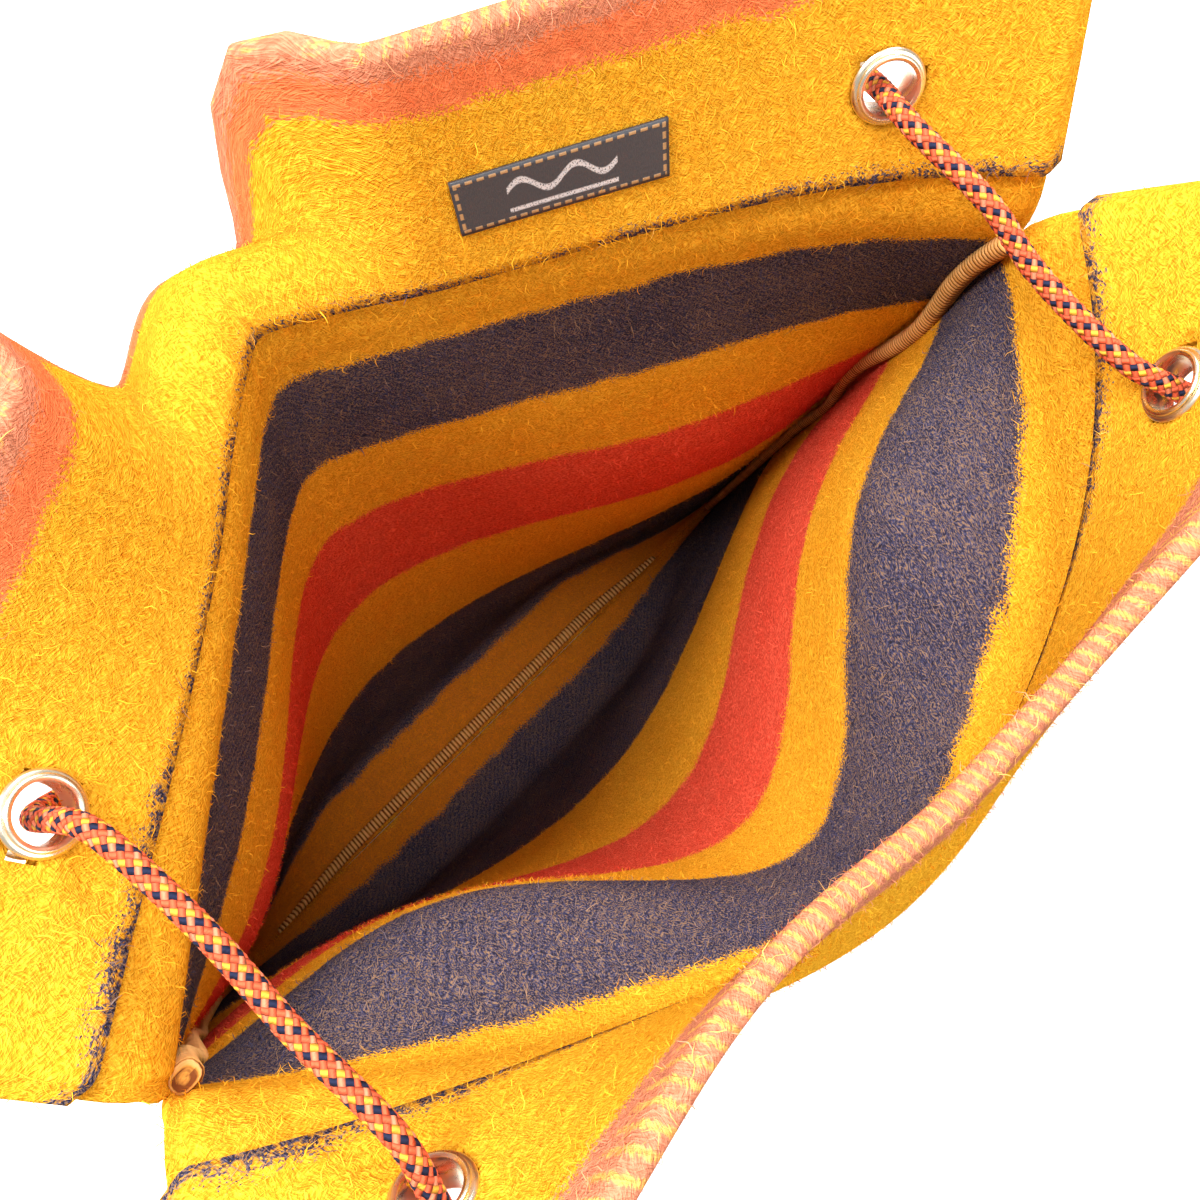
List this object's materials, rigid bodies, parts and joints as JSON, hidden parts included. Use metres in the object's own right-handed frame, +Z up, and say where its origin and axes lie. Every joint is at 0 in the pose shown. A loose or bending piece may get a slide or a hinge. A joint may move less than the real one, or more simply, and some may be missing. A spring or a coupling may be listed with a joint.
{
  "type": "wool blanket shoulder bag",
  "caption": "Tall shoulder bag of striped brushed wool blanket cloth, its mouth open, with brass eyelets and a braided cord strap.",
  "frame": {"origin": "middle of the bag's box, on the ground", "axes": "+X along the width towards the right side seam, +Y towards the back panel that carries the label, +Z up"},
  "size_m": [0.3948, 0.2703, 0.4617],
  "materials": {
    "blanket_cloth": "brushed wool with navy and red stripes",
    "overlock_thread": "overlocked seam allowance",
    "label_satin": "woven satin",
    "pale_brass": "polished",
    "braided_cord": "multi-colour round braid"
  },
  "bodies": {
    "root": {"back_panel": "blanket_cloth", "front_panel": "blanket_cloth", "left_seam_band": "overlock_thread", "right_seam_band": "overlock_thread", "bottom_seam_band": "overlock_thread", "label": "label_satin", "back_left_eyelet": "pale_brass", "back_left_washer": "pale_brass", "back_right_eyelet": "pale_brass", "back_right_washer": "pale_brass", "front_left_eyelet": "pale_brass", "front_left_washer": "pale_brass", "front_right_eyelet": "pale_brass", "front_right_washer": "pale_brass", "shoulder_cord": "braided_cord", "cord_knot": "braided_cord"}
  },
  "joints": []
}
